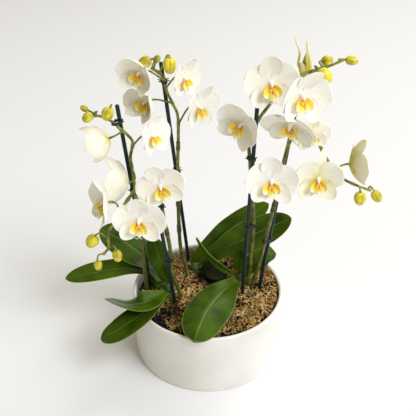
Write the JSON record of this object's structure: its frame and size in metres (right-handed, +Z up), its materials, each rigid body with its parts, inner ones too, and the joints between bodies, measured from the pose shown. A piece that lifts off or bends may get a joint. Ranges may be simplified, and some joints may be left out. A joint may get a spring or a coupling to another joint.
{
  "type": "potted orchid",
  "caption": "Potted white moth orchid: arching staked flower spikes, broad strap leaves and a moss-dressed medium in a low round white cover pot.",
  "frame": {"origin": "centre of the pot's flat underside", "axes": "+Z up, -Y is the arrangement's front, +X is its right-hand side as seen from the front"},
  "size_m": [0.3916, 0.208, 0.4176],
  "materials": {
    "pot_glaze": "satin white glaze",
    "bark": "dark bark chips",
    "moss": "dried golden moss fibres",
    "stake_plastic": "dark green gloss",
    "tie_plastic": "dark matte",
    "stem": "olive, waxy",
    "crown": "pale green, waxy",
    "leaf": "deep green, waxy sheen",
    "petal": "soft creamy white"
  },
  "bodies": {
    "root": {"pot": "pot_glaze", "bark_medium": "bark", "moss_dressing": "moss", "stake_back": "stake_plastic", "stake_left": "stake_plastic", "stake_front": "stake_plastic", "stake_inner": "stake_plastic", "stake_outer": "stake_plastic", "spike_back": "stem", "spike_left": "stem", "spike_front": "stem", "spike_inner": "stem", "spike_outer": "stem", "tie_back_upper": "tie_plastic", "tie_back_lower": "tie_plastic", "tie_left_upper": "tie_plastic", "tie_left_lower": "tie_plastic", "tie_front_upper": "tie_plastic", "tie_front_lower": "tie_plastic", "tie_inner_upper": "tie_plastic", "tie_inner_lower": "tie_plastic", "tie_outer_lower": "tie_plastic", "crown_left": "crown", "crown_back": "crown", "crown_right": "crown", "leaf_left_1": "leaf", "leaf_left_2": "leaf", "leaf_left_3": "leaf", "leaf_left_4": "leaf", "leaf_left_5": "leaf", "leaf_right_1": "leaf", "leaf_right_2": "leaf", "leaf_right_3": "leaf", "leaf_right_4": "leaf", "leaf_back_1": "leaf", "leaf_back_2": "leaf", "leaf_back_3": "leaf", "flower_back_1": "petal", "flower_back_2": "petal", "flower_back_3": "petal", "flower_back_4": "petal", "flower_left_1": "petal", "flower_left_2": "petal", "flower_left_3": "petal", "flower_front_1": "petal", "flower_front_2": "petal", "flower_front_3": "petal", "flower_inner_1": "petal", "flower_inner_2": "petal", "flower_inner_3": "petal", "flower_inner_4": "petal", "flower_inner_5": "petal", "flower_outer_1": "petal", "flower_outer_2": "petal", "flower_outer_3": "petal", "flower_outer_4": "petal"}
  },
  "joints": []
}
